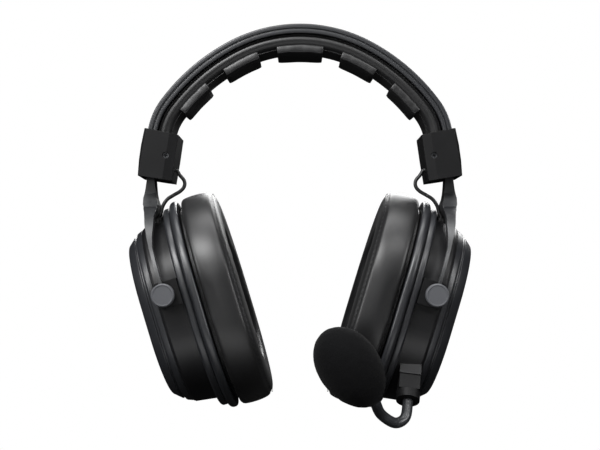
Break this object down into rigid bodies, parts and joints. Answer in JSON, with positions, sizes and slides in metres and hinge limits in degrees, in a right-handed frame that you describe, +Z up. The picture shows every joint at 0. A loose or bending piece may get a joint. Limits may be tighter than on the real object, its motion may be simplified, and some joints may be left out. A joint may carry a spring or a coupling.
{
  "type": "gaming headset",
  "caption": "Over-ear gaming headset: padded arched headband, sliding forked yokes, tilting oval ear cups with soft pads and a plug-in boom microphone.",
  "frame": {"origin": "middle of the centre head pad's underside, where the headset rests on the head", "axes": "+Z up, -Y towards the wearer's front, +X towards the wearer's left, the microphone side"},
  "size_m": [0.178, 0.137, 0.2041],
  "materials": {
    "satin_black_plastic": "satin",
    "dark_grey_plastic": "satin",
    "black_plastic": "matte",
    "leatherette": "satin",
    "black_cloth": "matte",
    "foam": "matte",
    "black_rubber": "satin",
    "painted_steel": "satin",
    "steel": "brushed",
    "magnet_steel": "satin",
    "mylar": "satin",
    "board": "satin",
    "battery_foil": "satin"
  },
  "bodies": {
    "headband": {"headband_strap": "satin_black_plastic", "headband_spring": "steel", "headband_cushion": "leatherette", "headband_lead": "black_rubber", "head_pad_centre": "leatherette", "head_pad_upper_left": "leatherette", "head_pad_upper_right": "leatherette", "head_pad_lower_left": "leatherette", "head_pad_lower_right": "leatherette", "end_cap_left": "satin_black_plastic", "end_cap_right": "satin_black_plastic", "slider_guide_left": "black_plastic", "slider_guide_right": "black_plastic", "slider_detents": "steel", "end_cap_screws": "steel"},
    "yoke_left": {"yoke_left": "painted_steel"},
    "cup_left": {"outer_cover_left": "satin_black_plastic", "cup_housing_left": "satin_black_plastic", "pivot_blocks_left": "black_plastic", "pivot_knobs_left": "dark_grey_plastic", "trim_ring_left": "black_plastic", "pad_frame_left": "satin_black_plastic", "baffle_left": "black_plastic", "baffle_screws_left": "steel", "driver_basket_left": "black_plastic", "driver_magnet_left": "magnet_steel", "driver_cone_left": "mylar", "ear_cloth_left": "black_cloth", "ear_pad_left": "leatherette", "lead_grommet_left": "black_rubber", "speaker_lead_left": "black_rubber", "circuit_board": "board", "usb_socket": "steel", "line_socket": "black_plastic", "mic_socket": "black_plastic"},
    "yoke_right": {"yoke_right": "painted_steel"},
    "cup_right": {"outer_cover_right": "satin_black_plastic", "cup_housing_right": "satin_black_plastic", "pivot_blocks_right": "black_plastic", "pivot_knobs_right": "dark_grey_plastic", "trim_ring_right": "black_plastic", "pad_frame_right": "satin_black_plastic", "baffle_right": "black_plastic", "baffle_screws_right": "steel", "driver_basket_right": "black_plastic", "driver_magnet_right": "magnet_steel", "driver_cone_right": "mylar", "ear_cloth_right": "black_cloth", "ear_pad_right": "leatherette", "lead_grommet_right": "black_rubber", "speaker_lead_right": "black_rubber", "battery": "battery_foil"},
    "power_button": {"power_button": "dark_grey_plastic"},
    "volume_wheel": {"volume_wheel": "black_plastic"},
    "mic_plug": {"mic_plug": "satin_black_plastic", "mic_boom_lower": "black_rubber"},
    "boom_middle": {"mic_boom_upper": "black_rubber"},
    "mic_head": {"mic_housing": "black_plastic", "mic_capsule": "steel", "mic_windscreen": "foam"}
  },
  "joints": [
    {"name": "slide_left", "type": "slide", "parent": "headband", "child": "yoke_left", "axis": [0.1564, 0, -0.9877], "range_m": [0, 0.025], "deforming": ["speaker_lead_left"]},
    {"name": "tilt_left", "type": "hinge", "parent": "yoke_left", "child": "cup_left", "pos_m": [0.06687, 0, -0.1238], "axis": [0, 1, 0], "range_deg": [-10, 2], "deforming": ["speaker_lead_left"]},
    {"name": "slide_right", "type": "slide", "parent": "headband", "child": "yoke_right", "axis": [-0.1564, 0, -0.9877], "range_m": [0, 0.025], "deforming": ["speaker_lead_right"]},
    {"name": "tilt_right", "type": "hinge", "parent": "yoke_right", "child": "cup_right", "pos_m": [-0.06687, 0, -0.1238], "axis": [0, -1, 0], "range_deg": [-10, 2], "deforming": ["speaker_lead_right"]},
    {"name": "power_press", "type": "slide", "parent": "cup_left", "child": "power_button", "axis": [0.0994, -0.9397, 0.3272], "range_m": [0, 0.0006], "stiffness_N_per_m": 900, "springref_m": -0.0008},
    {"name": "volume_turn", "type": "hinge", "parent": "cup_left", "child": "volume_wheel", "pos_m": [0.05366, 0.02192, -0.16245], "axis": [-0.9568, 0, 0.2907], "continuous": true},
    {"name": "mic_unplug", "type": "slide", "parent": "cup_left", "child": "mic_plug", "axis": [-0.0984, -0.5736, -0.8132], "range_m": [0, 0.02]},
    {"name": "boom_swing", "type": "hinge", "parent": "mic_plug", "child": "boom_middle", "pos_m": [0.0464, -0.0495, -0.1856], "axis": [0, 0, 1], "range_deg": [-30, 10], "deforming": ["mic_boom_lower"]},
    {"name": "boom_lift", "type": "hinge", "parent": "boom_middle", "child": "mic_head", "pos_m": [0.0405, -0.0545, -0.1819], "axis": [-0.6, 0.8, 0], "range_deg": [-25, 25], "deforming": ["mic_boom_upper"]}
  ]
}
